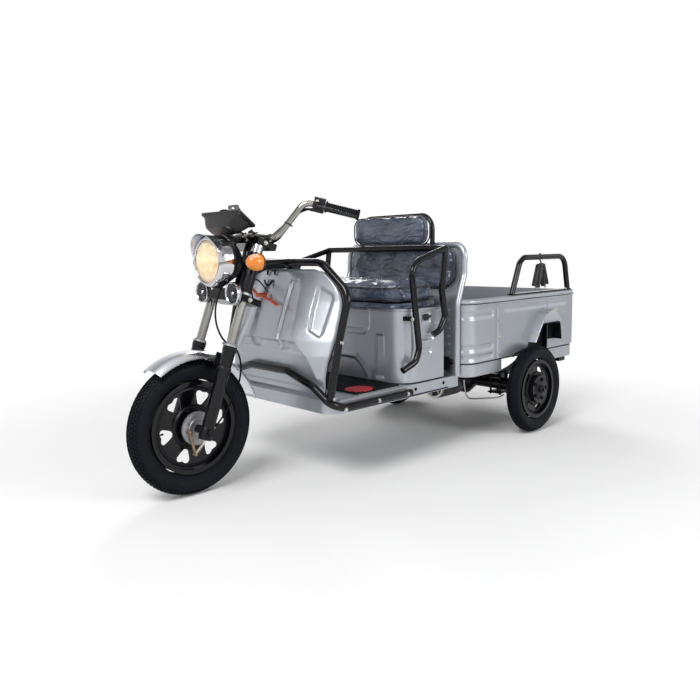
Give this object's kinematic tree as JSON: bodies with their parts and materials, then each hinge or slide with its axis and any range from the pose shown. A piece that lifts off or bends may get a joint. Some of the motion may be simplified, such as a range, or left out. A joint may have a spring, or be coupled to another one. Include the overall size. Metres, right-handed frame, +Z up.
{
  "type": "electric cargo tricycle",
  "caption": "Small electric cargo tricycle: steered front wheel on a telescopic fork, leg shield, padded bench with backrest, open cargo box with a drop tailgate.",
  "frame": {"origin": "on the ground, in the middle of the overall width and length", "axes": "+X to the rider's left, +Y to the rear, +Z up; the front wheel points along -Y"},
  "size_m": [0.918, 2.1605, 1.0007],
  "materials": {
    "frame_black": "gloss",
    "body_silver": "satin",
    "mat_rubber": "matte",
    "battery_case": "matte",
    "vinyl": "satin",
    "red_lens": "gloss",
    "red_lever": "satin",
    "chrome": "polished",
    "zinc": "satin",
    "cast_grey": "cast",
    "black_plastic": "satin",
    "clear_lens": "clear",
    "amber_lens": "gloss",
    "grip_rubber": "matte",
    "tyre": "matte",
    "rim_black": "satin",
    "seat_base": "matte"
  },
  "bodies": {
    "chassis": {"chassis_frame": "frame_black", "floor_pan": "body_silver", "floor_mat": "mat_rubber", "leg_shield": "body_silver", "crash_bar": "frame_black", "seat_box": "body_silver", "battery_block": "battery_case", "handrails": "frame_black", "backrest_frame": "frame_black", "back_cushion_upper": "vinyl", "headboard": "body_silver", "back_cushion_lower": "vinyl", "cargo_floor": "body_silver", "cargo_front": "body_silver", "cargo_sides": "body_silver", "arch_rails": "frame_black", "wheel_arches": "body_silver", "rear_bumper": "frame_black", "tail_lamps": "red_lens", "rear_axle": "frame_black", "parking_brake_lever": "red_lever"},
    "steering": {"steering_stem": "frame_black", "fork_tubes": "chrome", "fork_sliders": "frame_black", "front_axle": "zinc", "brake_plate": "cast_grey", "headlamp_bowl": "black_plastic", "headlamp_bezel": "chrome", "headlamp_lens": "clear_lens", "twin_lamps": "chrome", "turn_signals": "amber_lens", "instrument_pod": "black_plastic", "handlebar": "chrome", "grips": "grip_rubber", "switch_boxes": "black_plastic", "front_fender": "chrome"},
    "front_wheel": {"front_tyre": "tyre", "front_rim": "rim_black"},
    "rear_wheel_left": {"rear_tyre_left": "tyre", "rear_rim_left": "rim_black"},
    "rear_wheel_right": {"rear_tyre_right": "tyre", "rear_rim_right": "rim_black"},
    "seat": {"seat_board": "seat_base", "seat_cushion": "vinyl"},
    "tailgate": {"tailgate": "body_silver"}
  },
  "joints": [
    {"name": "steer", "type": "hinge", "parent": "chassis", "child": "steering", "pos_m": [0, -0.61475, 0.74183], "axis": [0, 0.3584, 0.9336], "range_deg": [-40, 40]},
    {"name": "front_wheel_spin", "type": "hinge", "parent": "steering", "child": "front_wheel", "pos_m": [0, -0.84775, 0.2325], "axis": [1, 0, 0], "continuous": true},
    {"name": "rear_wheel_left_spin", "type": "hinge", "parent": "chassis", "child": "rear_wheel_left", "pos_m": [0.405, 0.64725, 0.193], "axis": [1, 0, 0], "continuous": true},
    {"name": "rear_wheel_right_spin", "type": "hinge", "parent": "chassis", "child": "rear_wheel_right", "pos_m": [-0.405, 0.64725, 0.193], "axis": [1, 0, 0], "continuous": true},
    {"name": "seat_lift", "type": "hinge", "parent": "chassis", "child": "seat", "pos_m": [0, -0.13575, 0.6], "axis": [1, 0, 0], "range_deg": [0, 70]},
    {"name": "tailgate_drop", "type": "hinge", "parent": "chassis", "child": "tailgate", "pos_m": [0, 1.07425, 0.345], "axis": [-1, 0, 0], "range_deg": [0, 175]}
  ]
}
